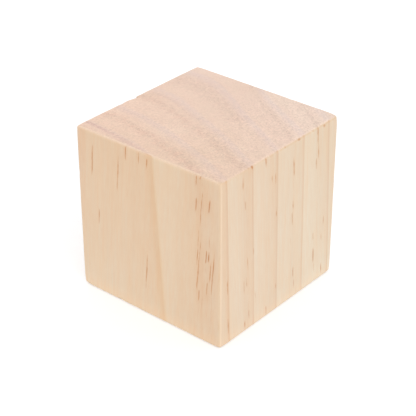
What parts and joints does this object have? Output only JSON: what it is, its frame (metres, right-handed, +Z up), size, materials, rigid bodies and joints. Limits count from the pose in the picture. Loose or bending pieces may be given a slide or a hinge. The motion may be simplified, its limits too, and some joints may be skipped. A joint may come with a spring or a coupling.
{
  "type": "wooden cube",
  "caption": "Solid cube of light softwood with sanded edges, grain running upright and a small chip in a top edge; a craft blank, building block or spacer.",
  "frame": {"origin": "middle of the sawn face that the cube rests on", "axes": "+Z up, with the grain; +X to the right of the front face; +Y to the back; the chip is in the rim of the top on the -X side"},
  "size_m": [0.05, 0.05, 0.05],
  "materials": {
    "softwood": "fine sanded, unfinished"
  },
  "bodies": {
    "root": {"wooden_block": "softwood"}
  },
  "joints": []
}
